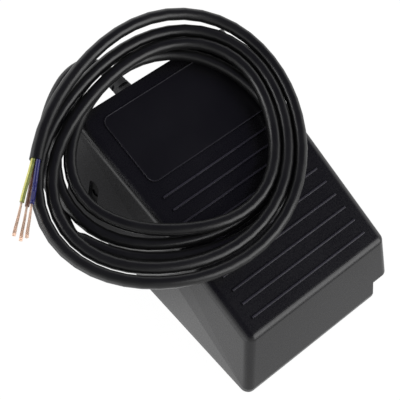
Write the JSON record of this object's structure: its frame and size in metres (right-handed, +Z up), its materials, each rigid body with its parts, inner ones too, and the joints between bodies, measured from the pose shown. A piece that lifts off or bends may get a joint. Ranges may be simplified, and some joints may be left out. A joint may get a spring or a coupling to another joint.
{
  "type": "foot switch",
  "caption": "black moulded wedge foot switch with ribbed rocking pedal, hidden snap switch and three core cable coiled on top, bare core ends",
  "frame": {"origin": "centre of the underside, on the floor, midway between the front and rear feet of the pedal", "axes": "+X to the right, across the pedal along its pin; +Y to the rear, where the cable enters; +Z up"},
  "size_m": [0.1524, 0.1603, 0.0923],
  "materials": {
    "pedal_plastic": "fine satin moulded black",
    "label_plastic": "smooth blank black plate",
    "tray_plastic": "moulded black",
    "pin_steel": "plain turned steel",
    "spring_steel": "drawn wire",
    "rubber": "matt black rubber",
    "switch_plastic": "moulded black",
    "cover_plastic": "moulded dark grey",
    "plunger_plastic": "moulded red",
    "lever_steel": "spring strip",
    "brass": "stamped brass",
    "screw_steel": "zinc plated",
    "connector_plastic": "red insulation",
    "terminal_plastic": "natural polyamide",
    "brown_pvc": "brown core insulation",
    "blue_pvc": "blue core insulation",
    "earth_pvc": "green core insulation with a yellow stripe",
    "sheath_pvc": "black cable sheath with a soft shine",
    "copper": "bare stranded copper"
  },
  "bodies": {
    "base": {"base_tray": "tray_plastic", "pivot_pin": "pin_steel", "pin_clips": "spring_steel", "return_spring": "spring_steel", "stop_pad_left": "rubber", "stop_pad_right": "rubber", "foot_front_left": "rubber", "foot_front_right": "rubber", "foot_rear_left": "rubber", "foot_rear_right": "rubber", "switch_body": "switch_plastic", "switch_cover": "cover_plastic", "terminal_common": "brass", "terminal_open": "brass", "terminal_closed": "brass", "switch_screws": "screw_steel", "connector_brown": "connector_plastic", "connector_blue": "connector_plastic", "lead_brown": "brown_pvc", "lead_blue": "blue_pvc", "lead_earth": "earth_pvc", "earth_terminal": "terminal_plastic", "earth_screw": "screw_steel", "cable_clamp": "tray_plastic", "clamp_screws": "screw_steel", "strain_relief": "rubber", "cable_entry": "sheath_pvc", "cable_run": "sheath_pvc", "cable_coil": "sheath_pvc", "core_brown": "brown_pvc", "core_blue": "blue_pvc", "core_earth": "earth_pvc", "copper_ends": "copper"},
    "pedal": {"pedal": "pedal_plastic", "label_plate": "label_plastic"},
    "lever": {"switch_lever": "lever_steel"},
    "plunger": {"switch_plunger": "plunger_plastic"}
  },
  "joints": [
    {"name": "pedal_tilt", "type": "hinge", "parent": "base", "child": "pedal", "pos_m": [0, 0.0472, 0.031], "axis": [1, 0, 0], "range_deg": [0, 2.2], "stiffness_Nm_per_rad": 3, "springref_deg": -5.73, "deforming": ["return_spring"]},
    {"name": "lever_hinge", "type": "hinge", "parent": "base", "child": "lever", "pos_m": [0.01243, 0.003, 0.04152], "axis": [1, 0, 0], "range_deg": [0, 7.8]},
    {"name": "plunger_slide", "type": "slide", "parent": "base", "child": "plunger", "axis": [0, 0, -1], "range_m": [0, 0.0012]}
  ],
  "couplings": [
    {"joint": "lever_hinge", "follows": "pedal_tilt", "ratio": 3.526},
    {"joint": "plunger_slide", "follows": "pedal_tilt", "m_per_rad": 0.03}
  ]
}
